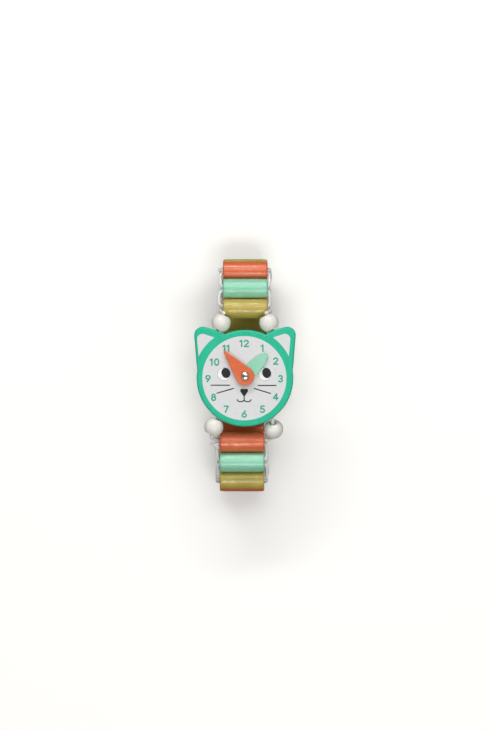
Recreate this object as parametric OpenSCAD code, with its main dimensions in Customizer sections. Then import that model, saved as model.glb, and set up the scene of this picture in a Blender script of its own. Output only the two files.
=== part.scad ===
// Toy wrist watch of lacquered wood: a cat-eared dial plate with two turning hands, and a strap of
// barrel beads and round beads that one elastic cord strings like a ladder into a closed loop.
// The watch lies on the back run of its strap with the dial facing up. +Z is up, +Y points to the
// twelve, and the origin is on the surface it lies on, under the middle of the loop.

/* [Dial plate] */
// Diameter of the round dial
dial_d = 38.7; // [36:0.1:40]
// Thickness of the plate
plate_t = 5; // [4.4:0.1:6]
// Rounding of the plate's edges
plate_edge = 0.8; // [0.4:0.1:1.1]
// How far the dial's centre lies from the middle of the loop, towards the six
dial_shift = 1.1; // [0:0.1:2]
// Radius of each ear's tip
ear_tip_r = 3.4; // [2.4:0.1:4.2]
// How far each ear stands out from the round dial
ear_reach = 8.2; // [6:0.1:9.4]
// Direction of each ear's tip, in degrees from the twelve
ear_tip_angle = 44.5; // [42:0.5:50]
// Radius of both corners along each ear's edge on the side of the twelve
ear_root_r = 3; // [2.6:0.1:3.4]
// Direction of the lower of these corners, in degrees from the twelve
ear_root_angle = 31.6; // [30.8:0.1:32.4]
// Direction of the upper one, in degrees from the twelve
ear_shoulder_angle = 38.2; // [37.6:0.1:38.8]
// How far the upper one stands out from the round dial
ear_shoulder_reach = 4.9; // [4.6:0.1:5.2]
// Radius of the corner at the outer end of each ear's base
ear_cheek_r = 2.6; // [2:0.1:4]
// Direction of that corner, in degrees from the twelve
ear_cheek_angle = 75; // [68:1:80]
// How far the ear's lower corners stand out from the round dial
ear_base_rise = 0.5; // [0.3:0.1:0.8]

/* [Hands and rivet] */
// How far the rivet sits from the dial's centre, towards the twelve
rivet_rise = 0.8; // [0:0.1:1]
// Thickness of each hand
hand_t = 1; // [0.8:0.1:1.4]
// Length of the minute hand from the rivet to its tip
minute_l = 13; // [10:0.1:15]
// Radius of the minute hand's round end
minute_r = 3.7; // [3:0.1:4.5]
// Radius of the minute hand's tip
minute_tip_r = 0.5; // [0.4:0.1:0.8]
// Where the minute hand points, in degrees clockwise from the twelve
minute_angle = -40; // [-180:1:180]
// Length of the hour hand from the rivet to its tip
hour_l = 12.6; // [9:0.1:14]
// Greatest width of the hour hand
hour_w = 5.4; // [4.6:0.1:6.4]
// Where the hour hand points, in degrees clockwise from the twelve
hour_angle = 45; // [-180:1:180]
// Diameter of the rivet's shank
rivet_d = 2.4; // [2:0.1:2.8]
// Diameter of the rivet's domed head
rivet_head_d = 3.4; // [3.2:0.1:4.4]
// Height of the rivet's head
rivet_head_h = 0.9; // [0.6:0.1:1.4]
// Diameter of the washer behind the plate
washer_d = 5.6; // [5:0.1:7]
// Thickness of that washer
washer_t = 0.5; // [0.4:0.1:0.8]

/* [Barrel beads] */
// Length of a barrel
barrel_l = 18; // [16:0.1:19]
// Diameter of a barrel at its ends
barrel_d = 7.7; // [7.4:0.1:8.2]
// How much thicker a barrel is in the middle
barrel_swell = 0.1; // [0:0.05:0.2]
// Rounding of a barrel's ends
barrel_edge = 0.7; // [0.4:0.1:1]
// Play of the cord's two strands in a barrel's bore, on each side
barrel_bore_play = 0.3; // [0.2:0.05:0.5]
// Gap between neighbouring barrels
barrel_gap = 0.3; // [0.3:0.05:0.6]
// How far the barrels of the lower half sit to the side
lower_offset = -1.2; // [-1.5:0.1:1.5]
// How far the barrels of the upper half sit to the side
upper_offset = 0.1; // [-1.5:0.1:1.5]

/* [Round beads] */
// Diameter of a round bead
bead_d = 7.7; // [7.4:0.1:7.9]
// Length of a round bead along its hole
bead_l = 6.2; // [6:0.1:6.6]
// Play of the cord in a round bead's hole, all round
bead_bore_play = 0.7; // [0.6:0.05:0.9]
// Gap between the plate's edge and the round beads that sit on it
bead_gap = 0.3; // [0.25:0.05:0.6]
// Lean of both round beads above the dial, in degrees towards the centre line
top_bead_lean = 24; // [20:1:28]
// Lean of the left round bead below the dial, in degrees away from the centre line
left_bead_lean = 22; // [16:1:30]
// Lean of the right one, which hangs on a stretch of bare cord
right_bead_lean = 6; // [0:1:10]
// How steeply the right one hangs down, in degrees
right_bead_tilt = 33; // [28:1:38]
// Length of that bare stretch
bare_cord_l = 2.4; // [2:0.1:3]

/* [Elastic cord] */
// Diameter of the elastic cord
cord_d = 1.2; // [1:0.05:1.25]
// Play of the cord in the plate's bores, all round
plate_bore_play = 0.3; // [0.2:0.05:0.5]
// How far each of these bores lies outside the middle of an ear's lower corner
cord_step = 2.2; // [1.8:0.1:2.5]
// Radius of the cord's bends round a barrel's end
cord_bend_r = 1.4; // [1.1:0.1:1.6]
// Diameter of the knot
knot_d = 2.2; // [1.8:0.1:2.6]
// Length of the cut tail at the knot
tail_l = 1.6; // [1:0.1:3]

/* [Strap loop] */
// Gap between the dial's rim and the first barrel, seen from the front
rim_gap = 2.4; // [1.8:0.1:3]
// How far the first barrels' axis lies below the middle of the plate
plate_rise = 5.3; // [5.2:0.1:6]

/* [Hidden] */
$fn = 48;
ORANGE = [0.86, 0.42, 0.25];
MINT = [0.58, 0.86, 0.74];
OLIVE = [0.72, 0.65, 0.24];
GREEN = [0.14, 0.75, 0.59];
BEAD_WHITE = [0.93, 0.92, 0.89];
CORD_WHITE = [0.95, 0.93, 0.92];
STEEL = [0.76, 0.74, 0.7];
BARREL_COLOURS = [ORANGE, MINT, OLIVE];

// Directions of the eight cord links of one half, from the first barrel on: degrees turned down
// from the outward horizontal. The first ones bend the strap round, and all of these turn by the
// same small angle to close the loop. The others run back flat.
bend_angles = [7, 31, 82, 142];
back_angles = [180, 180, 180, 180];
BARRELS_PER_HALF = len(bend_angles) + len(back_angles) + 1;
BARRELS = 2 * BARRELS_PER_HALF;

// Round beads: side of the centre line, end of the dial, lean of the hole away from the centre
// line and tilt down from the plate, both in degrees
BEAD_NAMES = ["top_left", "top_right", "bottom_left", "bottom_right"];
bead_side = [-1, 1, -1, 1];
bead_end = [1, 1, -1, -1];
bead_lean = [-top_bead_lean, -top_bead_lean, left_bead_lean, right_bead_lean];
bead_tilt = [0, 0, 0, right_bead_tilt];

// Running fits and small clearances: radial play of the shank in the plate and of the hands on
// the shank, gaps between the layers on the rivet and between two strands that meet in a bore
shank_play = 0.04;
hand_play = 0.06;
layer_gap = 0.1;
strand_gap = 0.1;
// Least gap between a round bead and a barrel
ball_gap = 0.1;
// How far a cut runs past the faces that it goes through
overrun = 1;
// The rivet's formed tail, how far it stays inside the plate's back, and the play round its washer
tail_head_d = 3.6;
tail_head_h = 0.6;
tail_inset = 0.3;
recess_play = 0.4;
// Chamfer of a barrel's bore
bore_chamfer = 0.3;
// Middle part of a barrel that is straight, as a share of its length, so that the strap lies still
straight_share = 0.5;
// Distance of a strand from the middle of a barrel's bore, as a share of the cord's diameter
strand_share = 0.6;
// The leaf-shaped hand: where it is widest and how far its arcs reach, as shares of its length
leaf_middle_share = 0.38;
leaf_reach_share = 0.72;
// How far inside the plate's bore the cord begins to bend
mouth_inset = 0.4;
// The cord between a round bead and a barrel: its straight start, how far its bow stands out as a
// share of the bend's radius, and how high and how far along its two middle points lie, as shares
lead_l = 1.2;
bow_share = 1.1;
bow_high_share = 0.6;
bow_low_share = 0.2;
bow_along_share = 0.8;
// Facets of round parts, and steps of curves
DIAL_FACETS = 96;
EAR_FACETS = 32;
LEAF_FACETS = 120;
TUBE_SIDES = 8;
EDGE_STEPS = 5;
SWELL_STEPS = 4;
CURVE_STEPS = 4;
BORE_STEPS = 5;

dial_r = dial_d / 2;
dial_y = -dial_shift;
rivet_y = dial_y + rivet_rise;
barrel_mid_d = barrel_d + 2 * barrel_swell;
pitch = barrel_mid_d + barrel_gap;
strand_offset = cord_d * strand_share;
barrel_bore_d = 2 * strand_offset + cord_d + 2 * barrel_bore_play;
recess_depth = washer_t + tail_head_h + tail_inset;

function pad(i) = i < 10 ? str("0", i) : str(i);
function sum(list, n) = n <= 0 ? 0 : list[n - 1] + sum(list, n - 1);
function sum_cos(angles) = sum([for (a = angles) cos(a)], len(angles));
function sum_sin(angles) = sum([for (a = angles) sin(a)], len(angles));
function on_circle(r, angle) = [r * sin(angle), r * cos(angle)];

// Ears: four round corners each, placed from the dial's centre
ear_tip = on_circle(dial_r + ear_reach - ear_tip_r, ear_tip_angle);
ear_root = on_circle(dial_r + ear_base_rise - ear_root_r, ear_root_angle);
ear_shoulder = on_circle(dial_r + ear_shoulder_reach - ear_root_r, ear_shoulder_angle);
ear_cheek = on_circle(dial_r + ear_base_rise - ear_cheek_r, ear_cheek_angle);

// The straight edge from root to shoulder: its slope, its outward normal, and its height at a
// distance x from the centre line
ear_edge_angle = atan2(ear_shoulder[1] - ear_root[1], ear_shoulder[0] - ear_root[0]);
ear_edge_normal = [-sin(ear_edge_angle), cos(ear_edge_angle)];
function ear_edge_y(x) =
    (ear_edge_normal * ear_root + ear_root_r - ear_edge_normal[0] * x) / ear_edge_normal[1];

// Where the cord leaves the plate
cord_x = ear_root[0] + cord_step;
cord_top_y = dial_y + ear_edge_y(cord_x);
cord_bottom_y = dial_y - sqrt(pow(dial_r, 2) - pow(cord_x, 2));
function exit_y(j) = bead_end[j] > 0 ? cord_top_y : cord_bottom_y;

// Unit direction of a round bead's hole away from the plate
function bead_direction(j) = [
    bead_side[j] * sin(bead_lean[j]) * cos(bead_tilt[j]),
    bead_end[j] * cos(bead_lean[j]) * cos(bead_tilt[j]),
    -sin(bead_tilt[j])];

// How far a bead's centre lies from the cord's exit. A bead that sits on the plate's edge keeps
// bead_gap from it, whether its flat end or that end's rim comes nearest. skew is the angle
// between its hole and the edge's outward normal.
bead_rim_angle = acos(bead_l / bead_d);
function edge_lean(j) = bead_end[j] > 0 ? -ear_edge_angle : asin(cord_x / dial_r);
function bead_distance(j) =
    let (skew = abs(edge_lean(j) - bead_lean[j]))
    bead_tilt[j] > 0 ? bare_cord_l + bead_l / 2
    : (bead_d / 2 * cos(max(bead_rim_angle - skew, 0)) + bead_gap) / cos(skew);

// Place of a bead against the first barrel of its end: across and along the watch, height above
// that barrel's axis, and how far it stands past the barrel's end
function bead_x(j) = bead_side[j] * cord_x + bead_direction(j)[0] * bead_distance(j);
function bead_y(j) = exit_y(j) + bead_direction(j)[1] * bead_distance(j);
function bead_height(j) = plate_rise + bead_direction(j)[2] * bead_distance(j);
function bead_past_end(j) =
    max(bead_side[j] * (bead_x(j) - (bead_end[j] < 0 ? lower_offset : upper_offset)) - barrel_l / 2, 0);

// The first barrels lie below the plate's rim, or further out where a round bead needs the room
function room_for(j) =
    let (apart = barrel_d / 2 + ball_gap + sqrt(max(pow(bead_d / 2, 2) - pow(bead_past_end(j), 2), 0)))
    abs(bead_y(j)) + sqrt(max(pow(apart, 2) - pow(bead_height(j), 2), 0));
first_y = max(concat(
    [dial_shift + dial_r + rim_gap + barrel_mid_d / 2],
    [for (j = [0 : len(BEAD_NAMES) - 1]) room_for(j)]));

// The loop closes where the last barrels of both halves lie one pitch apart. Turned by a shift, the
// bent links reach as far along the strap as one long arm that points in their mean direction.
bend_arm = norm([sum_cos(bend_angles), sum_sin(bend_angles)]);
bend_mean = atan2(sum_sin(bend_angles), sum_cos(bend_angles));
bend_share = ((pitch / 2 - first_y) / pitch - sum_cos(back_angles)) / bend_arm;
closing_shift = acos(bend_share) - bend_mean;

directions = concat([for (a = bend_angles) a + closing_shift], back_angles);
function run_y(k) = first_y + pitch * sum([for (a = directions) cos(a)], k - 1);
function run_z(k) = barrel_mid_d / 2
    + pitch * (sum_sin(directions) - sum([for (a = directions) sin(a)], k - 1));

// Barrels are numbered round the loop, from the one below the dial to the one above it.
function is_lower(i) = i <= BARRELS_PER_HALF;
function place_in_half(i) = is_lower(i) ? i : BARRELS + 1 - i;
function barrel_centre(i) = [
    is_lower(i) ? lower_offset : upper_offset,
    (is_lower(i) ? -1 : 1) * run_y(place_in_half(i)),
    run_z(place_in_half(i))];

plate_z = run_z(1) + plate_rise;
hour_z = plate_z + plate_t / 2 + layer_gap;
minute_z = hour_z + hand_t + layer_gap;
head_z = minute_z + hand_t + layer_gap;
washer_z = plate_z - plate_t / 2 + recess_depth - washer_t;

function cord_exit(j) = [bead_side[j] * cord_x, exit_y(j), plate_z];
function bead_centre(j) = cord_exit(j) + bead_direction(j) * bead_distance(j);

// Quarter arc as points, from a start angle on, about a centre
function quarter(centre, r, start) =
    [for (s = [0 : EDGE_STEPS])
        centre + r * [cos(start + 90 * s / EDGE_STEPS), sin(start + 90 * s / EDGE_STEPS)]];

// A round plate with rounded edges, centred on its own middle
module puck(r, t, edge) {
    rotate_extrude()
        polygon(concat(
            [[0, -t / 2]],
            quarter([r - edge, edge - t / 2], edge, -90),
            quarter([r - edge, t / 2 - edge], edge, 0),
            [[0, t / 2]]));
}

module ear() {
    hull() {
        translate(ear_tip) puck(ear_tip_r, plate_t, plate_edge, $fn = EAR_FACETS);
        translate(ear_root) puck(ear_root_r, plate_t, plate_edge, $fn = EAR_FACETS);
        translate(ear_shoulder) puck(ear_root_r, plate_t, plate_edge, $fn = EAR_FACETS);
        translate(ear_cheek) puck(ear_cheek_r, plate_t, plate_edge, $fn = EAR_FACETS);
    }
}

module dial_plate() {
    color(GREEN)
    translate([0, dial_y, plate_z])
    difference() {
        union() {
            puck(dial_r, plate_t, plate_edge, $fn = DIAL_FACETS);
            ear();
            mirror([1, 0, 0]) ear();
        }
        translate([0, rivet_rise, -plate_t / 2 - overrun]) {
            cylinder(r = rivet_d / 2 + shank_play, h = plate_t + 2 * overrun);
            cylinder(r = washer_d / 2 + recess_play, h = recess_depth + overrun);
        }
        for (side = [-1, 1])
            translate([side * cord_x, 0, 0])
            rotate([90, 0, 0])
            cylinder(r = cord_d / 2 + plate_bore_play, h = 2 * (dial_r + ear_reach), center = true);
    }
}

// Part of a ball of height h that stands on a circle of diameter d
module dome(d, h) {
    ball_r = (pow(d / 2, 2) + pow(h, 2)) / (2 * h);
    intersection() {
        translate([0, 0, h - ball_r]) sphere(r = ball_r);
        cylinder(d = d, h = h);
    }
}

module rivet() {
    color(STEEL)
    translate([0, rivet_y, 0]) {
        translate([0, 0, head_z]) dome(rivet_head_d, rivet_head_h);
        translate([0, 0, washer_z]) cylinder(d = rivet_d, h = head_z - washer_z);
        translate([0, 0, washer_z]) mirror([0, 0, 1]) dome(tail_head_d, tail_head_h);
    }
}

module back_washer() {
    color(STEEL)
    translate([0, rivet_y, washer_z])
    difference() {
        cylinder(d = washer_d, h = washer_t);
        translate([0, 0, -overrun])
            cylinder(r = rivet_d / 2 + shank_play, h = washer_t + 2 * overrun);
    }
}

module hand_bore() {
    translate([0, 0, -overrun])
        cylinder(r = rivet_d / 2 + hand_play, h = hand_t + 2 * overrun);
}

// Teardrop: a round end about the rivet, drawn out to a small tip along +Y
module minute_hand() {
    tip_y = minute_l - minute_tip_r;
    touch = asin((minute_r - minute_tip_r) / tip_y);
    big = minute_r * [cos(touch), sin(touch)];
    small = minute_tip_r * [cos(touch), sin(touch)] + [0, tip_y];
    color(ORANGE)
    translate([0, rivet_y, minute_z])
    rotate([0, 0, -minute_angle])
    difference() {
        linear_extrude(hand_t)
        union() {
            circle(r = minute_r);
            polygon([big, small, [-small[0], small[1]], [-big[0], big[1]]]);
            translate([0, tip_y]) circle(r = minute_tip_r);
        }
        hand_bore();
    }
}

// Leaf: two wide arcs that cross, cut off in a blunt tip, with a round end about the rivet
module hour_hand() {
    middle_y = hour_l * leaf_middle_share;
    half_l = hour_l * leaf_reach_share;
    arc_r = (pow(half_l, 2) + pow(hour_w / 2, 2)) / hour_w;
    color(MINT)
    translate([0, rivet_y, hour_z])
    rotate([0, 0, -hour_angle])
    difference() {
        linear_extrude(hand_t)
        union() {
            circle(d = hour_w);
            intersection() {
                translate([arc_r - hour_w / 2, middle_y]) circle(r = arc_r, $fn = LEAF_FACETS);
                translate([hour_w / 2 - arc_r, middle_y]) circle(r = arc_r, $fn = LEAF_FACETS);
                circle(r = hour_l, $fn = LEAF_FACETS);
                translate([-hour_w, 0]) square([2 * hour_w, 2 * hour_l]);
            }
        }
        hand_bore();
    }
}

// Outline of a barrel from its bore outwards, as [radius, place along the axis]
function barrel_outline() =
    let (
        half = barrel_l / 2,
        bore_r = barrel_bore_d / 2,
        end_r = barrel_d / 2,
        arc = [for (s = [1 : 2 * SWELL_STEPS - 1])
            let (share = s / SWELL_STEPS - 1, taper = (abs(share) - straight_share) / (1 - straight_share))
            if (taper >= 0) [end_r + barrel_swell * (1 - pow(taper, 2)), share * (half - barrel_edge)]]
    )
    concat(
        [[bore_r, bore_chamfer - half], [bore_r + bore_chamfer, -half]],
        quarter([end_r - barrel_edge, barrel_edge - half], barrel_edge, -90),
        arc,
        quarter([end_r - barrel_edge, half - barrel_edge], barrel_edge, 0),
        [[bore_r + bore_chamfer, half], [bore_r, half - bore_chamfer]]);

module barrel(i) {
    color(BARREL_COLOURS[(i - 1) % len(BARREL_COLOURS)])
    translate(barrel_centre(i))
    rotate([0, 90, 0])
    rotate_extrude()
    polygon(barrel_outline());
}

module round_bead(j) {
    color(BEAD_WHITE)
    translate(bead_centre(j))
    rotate([0, 0, -bead_side[j] * bead_end[j] * bead_lean[j]])
    rotate([90 - bead_end[j] * bead_tilt[j], 0, 0])
    difference() {
        intersection() {
            sphere(d = bead_d);
            cylinder(d = bead_d, h = bead_l, center = true);
        }
        cylinder(r = cord_d / 2 + bead_bore_play, h = bead_l + 2 * overrun, center = true);
    }
}

// One side's cord between two neighbouring barrels: out of the first bore, round both ends and
// into the second bore. It lies in the XY plane, with +Y towards the second barrel.
module strand_round_ends(inner_x, outer_x) {
    bend_y = strand_offset + cord_bend_r;
    for (y = [strand_offset, pitch - strand_offset])
        translate([inner_x, y, 0]) rotate([0, 90, 0]) cylinder(d = cord_d, h = outer_x - inner_x);
    translate([outer_x, bend_y, 0])
        rotate([0, 0, -90]) rotate_extrude(angle = 90) translate([cord_bend_r, 0]) circle(d = cord_d);
    translate([outer_x, pitch - bend_y, 0])
        rotate_extrude(angle = 90) translate([cord_bend_r, 0]) circle(d = cord_d);
    translate([outer_x + cord_bend_r, bend_y, 0])
        rotate([-90, 0, 0]) cylinder(d = cord_d, h = pitch - 2 * bend_y);
}

// Cord between barrel i and the next one round the loop
module barrel_link(i) {
    from = barrel_centre(i);
    to = barrel_centre(i + 1);
    middle_x = (from[0] + to[0]) / 2;
    right_x = max(from[0], to[0]) + barrel_l / 2;
    left_x = min(from[0], to[0]) - barrel_l / 2;
    color(CORD_WHITE)
    translate([0, from[1], from[2]])
    rotate([atan2(to[2] - from[2], to[1] - from[1]), 0, 0]) {
        strand_round_ends(middle_x + strand_gap, right_x);
        mirror([1, 0, 0]) strand_round_ends(strand_gap - middle_x, -left_x);
        if (i == 1)
            knot(left_x);
    }
}

// Knot and cut tail where the cord's two ends are tied, beside the first barrel's bore
module knot(left_x) {
    translate([left_x - cord_bend_r, strand_offset + cord_bend_r + knot_d / 2, 0]) {
        sphere(d = knot_d);
        rotate([0, -90, 0]) cylinder(d = cord_d, h = tail_l);
    }
}

// A smooth curve through points, and a tube of eight sides swept along it
function curve_point(a, b, c, d, t) =
    0.5 * (2 * b + (c - a) * t + (2 * a - 5 * b + 4 * c - d) * pow(t, 2)
    + (3 * b - a - 3 * c + d) * pow(t, 3));
function curve(points, steps) =
    let (n = len(points) - 1)
    concat(
        [for (i = [0 : n - 1], s = [0 : steps - 1])
            curve_point(points[max(i - 1, 0)], points[i], points[i + 1], points[min(i + 2, n)], s / steps)],
        [points[n]]);
function unit(v) = v / norm(v);
function across(v, hint) = unit(hint - v * (hint * v));
function frames(path, i, side) =
    let (
        n = len(path) - 1,
        ahead = unit(path[min(i + 1, n)] - path[max(i - 1, 0)]),
        here = across(ahead, side)
    )
    i == n ? [[ahead, here]] : concat([[ahead, here]], frames(path, i + 1, here));

module tube(path, d) {
    n = len(path);
    rings = frames(path, 0, [0, 0, 1]);
    points = [for (i = [0 : n - 1], s = [0 : TUBE_SIDES - 1])
        let (
            angle = 360 * s / TUBE_SIDES,
            side = rings[i][1],
            up = cross(rings[i][0], side)
        )
        path[i] + d / 2 * (side * cos(angle) + up * sin(angle))];
    walls = [for (i = [0 : n - 2], s = [0 : TUBE_SIDES - 1], half = [0, 1])
        let (
            a = i * TUBE_SIDES + s,
            b = i * TUBE_SIDES + (s + 1) % TUBE_SIDES
        )
        half == 0 ? [a, a + TUBE_SIDES, b] : [b, a + TUBE_SIDES, b + TUBE_SIDES]];
    start = [for (s = [0 : TUBE_SIDES - 1]) s];
    finish = [for (s = [TUBE_SIDES - 1 : -1 : 0]) (n - 1) * TUBE_SIDES + s];
    polyhedron(points = points, faces = concat([start], walls, [finish]));
}

// Cord from a barrel's bore round its end, through round bead j and into the plate's bore
function bead_route(j) =
    let (
        side = bead_side[j],
        away = bead_end[j],
        barrel = barrel_centre(away > 0 ? BARRELS : 1),
        end_x = barrel[0] + side * barrel_l / 2,
        bore_y = barrel[1] - away * strand_offset,
        centre = bead_centre(j),
        start = centre + bead_direction(j) * (bead_l / 2 + lead_l),
        bow_x = end_x + side * cord_bend_r * bow_share,
        high_x = side * max(side * bow_x, side * (bow_x + start[0]) / 2),
        rise = start[2] - barrel[2]
    )
    [
        [barrel[0] + side * strand_gap, bore_y, barrel[2]],
        [end_x - 2 * side * cord_bend_r, bore_y, barrel[2]],
        [end_x - side * cord_d / 2, bore_y, barrel[2]],
        [bow_x, bore_y, barrel[2] + rise * bow_low_share],
        [high_x, start[1] + (bore_y - start[1]) * bow_along_share, barrel[2] + rise * bow_high_share],
        start,
        centre
    ];

// The long stretch of one side: out of the first barrel, through a round bead, the plate and the
// other round bead, and into the last barrel
function plate_route(from, to) =
    let (
        back = bead_route(to),
        low = cord_exit(from) - [0, bead_end[from] * mouth_inset, 0],
        high = cord_exit(to) - [0, bead_end[to] * mouth_inset, 0]
    )
    concat(
        bead_route(from),
        [for (s = [0 : BORE_STEPS]) low + (high - low) * s / BORE_STEPS],
        [for (i = [len(back) - 1 : -1 : 0]) back[i]]);

module elastic_plate() {
    color(CORD_WHITE)
    for (j = [0 : len(BEAD_NAMES) - 1], k = [0 : len(BEAD_NAMES) - 1])
        if (bead_side[j] == bead_side[k] && bead_end[j] < bead_end[k])
            tube(curve(plate_route(j, k), CURVE_STEPS), cord_d);
}

dial_plate();
rivet();
back_washer();
hour_hand();
minute_hand();
for (i = [1 : BARRELS])
    barrel(i);
for (j = [0 : len(BEAD_NAMES) - 1])
    round_bead(j);
elastic_plate();
for (i = [1 : BARRELS - 1])
    barrel_link(i);
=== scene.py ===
# %% [markdown]
# # A toy watch of lacquered beads
# The watch lies flat with its dial facing up. Its strap is a closed loop of wooden barrels and four
# round beads on one elastic cord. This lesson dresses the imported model: it gives each bead, the dial
# plate, the hands and the cord a finished mesh and a lacquer, print or weave made of shader nodes.
# We start with the frame, because every piece takes its place and its body from it.

# %% Load the frame
import math

import bmesh
import bpy
from mathutils import Matrix, Vector, noise


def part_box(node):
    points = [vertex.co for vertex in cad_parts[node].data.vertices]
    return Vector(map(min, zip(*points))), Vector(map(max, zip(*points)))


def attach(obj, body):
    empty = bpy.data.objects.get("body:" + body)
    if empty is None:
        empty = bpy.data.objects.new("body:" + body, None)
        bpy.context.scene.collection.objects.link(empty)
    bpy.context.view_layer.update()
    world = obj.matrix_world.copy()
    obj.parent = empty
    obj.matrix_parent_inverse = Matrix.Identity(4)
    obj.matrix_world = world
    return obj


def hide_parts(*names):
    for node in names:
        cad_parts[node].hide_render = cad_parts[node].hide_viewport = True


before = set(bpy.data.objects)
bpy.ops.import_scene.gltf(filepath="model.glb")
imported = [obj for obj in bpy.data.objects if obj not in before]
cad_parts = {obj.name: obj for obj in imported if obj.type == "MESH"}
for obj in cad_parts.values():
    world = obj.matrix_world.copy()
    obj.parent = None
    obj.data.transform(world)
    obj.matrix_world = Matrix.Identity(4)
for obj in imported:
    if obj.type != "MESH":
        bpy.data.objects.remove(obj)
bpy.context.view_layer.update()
MM = 0.001

# %% [markdown]
# ## Where things are
# All sizes below are in millimetres, as a maker would give them. The places of the beads come from
# the frame: a bead's box gives its middle. So nothing here can drift away from the construction.

# %% Places from the frame
BARRELS = 18
BEAD_NAMES = ["top_left", "top_right", "bottom_left", "bottom_right"]


def node_box(node):
    low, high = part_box(node)
    return Vector(low) / MM, Vector(high) / MM


def node_middle(node):
    low, high = node_box(node)
    return (low + high) / 2


barrel_middle = [None] + [node_middle(f"barrel_{i:02d}") for i in range(1, BARRELS + 1)]
bead_middle = {name: node_middle(f"round_bead_{name}") for name in BEAD_NAMES}
hour_low, minute_low = node_box("hour_hand")[0], node_box("minute_hand")[0]
plate_low, plate_high = node_box("dial_plate")
rivet_middle = node_middle("back_washer")
DIAL_R = 19.35
dial_middle = Vector((0, plate_low.y + DIAL_R, plate_high.z))
RIVET_RISE = rivet_middle.y - dial_middle.y
print("dial middle", [round(v, 2) for v in dial_middle], "rivet above it by", round(RIVET_RISE, 2), "mm")

# %% [markdown]
# ## Making pieces
# Every piece is a mesh that we compute point by point. Two small builders cover nearly all of them:
# a grid of points that closes round on itself, for turned and swept shapes, and a flat outline with
# some thickness, for printed shapes. Both end in the same helpers, which turn millimetres into
# metres, hang the piece on its body and hide the node of the frame that it stands for.


# %% Hang a mesh on its body
def hang(obj, body, nodes=(), slot=None):
    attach(obj, body)
    if nodes:
        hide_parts(*nodes)
    return obj


def place_in_scene(name, data):
    obj = bpy.data.objects.new(name, data)
    bpy.context.scene.collection.objects.link(obj)
    return obj


def mesh_object(name, points, faces, finish, uv=None):
    mesh = bpy.data.meshes.new(name)
    mesh.from_pydata([Vector(p) * MM for p in points], [], faces)
    if uv:
        layer = mesh.uv_layers.new(name="along")
        for loop in mesh.loops:
            layer.data[loop.index].uv = uv(loop)
    mesh.polygons.foreach_set("use_smooth", [True] * len(mesh.polygons))
    mesh.materials.append(finish)
    mesh.validate()
    return place_in_scene(name, mesh)


def tidy_normals(obj):
    work = bmesh.new()
    work.from_mesh(obj.data)
    bmesh.ops.remove_doubles(work, verts=work.verts, dist=1e-7)
    bmesh.ops.recalc_face_normals(work, faces=work.faces)
    work.to_mesh(obj.data)
    work.free()
    return obj


# %% Grids that close round on themselves
def ring_faces(rings, sides, closed):
    faces = []
    for i in range(rings if closed else rings - 1):
        for s in range(sides):
            a, b = i * sides + s, i * sides + (s + 1) % sides
            c = ((i + 1) % rings) * sides + (s + 1) % sides
            d = ((i + 1) % rings) * sides + s
            faces.append((a, b, c, d))
    return faces


# Smallest radius of a turned outline, where it meets its axis
ON_AXIS = 0.0001


def lathe(outline, sides, place, shape=None):
    """Turns a closed outline of (radius, height) points and puts it at a place, given by a matrix."""
    points = []
    for radius, height in outline:
        for s in range(sides):
            angle = 2 * math.pi * s / sides
            r = radius + (shape(radius, height, angle) if shape else 0.0)
            points.append(place @ Vector((r * math.cos(angle), r * math.sin(angle), height)))
    return points, ring_faces(len(outline), sides, True)


def arc(middle, radius, start, end, steps):
    """Points on an arc, in degrees, with both ends."""
    turn = [math.radians(start + (end - start) * k / steps) for k in range(steps + 1)]
    return [(middle[0] + radius * math.cos(t), middle[1] + radius * math.sin(t)) for t in turn]


# %% [markdown]
# ## Shader maths
# A lacquer is a sum of small effects: grain, unevenness, wear. Written with nodes by hand, such a sum
# takes pages. We wrap a socket in a small class whose operators add Math nodes, so that the sum reads
# as a sum. Colours are mixed and not multiplied, because a Math node would turn them grey.


# %% A socket with operators
class Wire:
    def __init__(self, tree, socket):
        self.tree = tree
        self.socket = socket

    def _maths(self, operation, first, second):
        return self.tree.node("ShaderNodeMath", {"operation": operation}, {0: first, 1: second})

    def __add__(self, other):
        return self._maths("ADD", self, other)

    def __radd__(self, other):
        return self._maths("ADD", other, self)

    def __sub__(self, other):
        return self._maths("SUBTRACT", self, other)

    def __rsub__(self, other):
        return self._maths("SUBTRACT", other, self)

    def __mul__(self, other):
        return self._maths("MULTIPLY", self, other)

    def __rmul__(self, other):
        return self._maths("MULTIPLY", other, self)

    def clamped(self):
        return self.tree.node("ShaderNodeClamp", {}, {"Value": self})


# %% Colours, node trees, and a finish, which is a material with one Principled shader
def tone(red, green, blue):
    """A colour given as it is seen, 0 to 255, in the linear values that the shader wants."""
    def linear(value):
        share = value / 255
        return share / 12.92 if share <= 0.04045 else ((share + 0.055) / 1.055) ** 2.4
    return (linear(red), linear(green), linear(blue), 1.0)


class Tree:
    """The nodes of a material or of the world, with its one shader."""
    def __init__(self, owner, shader):
        owner.use_nodes = True
        self.nodes, self.links = owner.node_tree.nodes, owner.node_tree.links
        self.shader = self.nodes[shader]

    def node(self, kind, settings, inputs, output=0):
        made = self.nodes.new(kind)
        for setting, value in settings.items():
            setattr(made, setting, value)
        for socket, value in inputs.items():
            self._feed(made.inputs[socket], value)
        return Wire(self, made.outputs[output])

    def _feed(self, socket, value):
        if isinstance(value, Wire):
            self.links.new(value.socket, socket)
        else:
            socket.default_value = value

    def feed(self, socket, value):
        self._feed(self.shader.inputs[socket], value)


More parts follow.
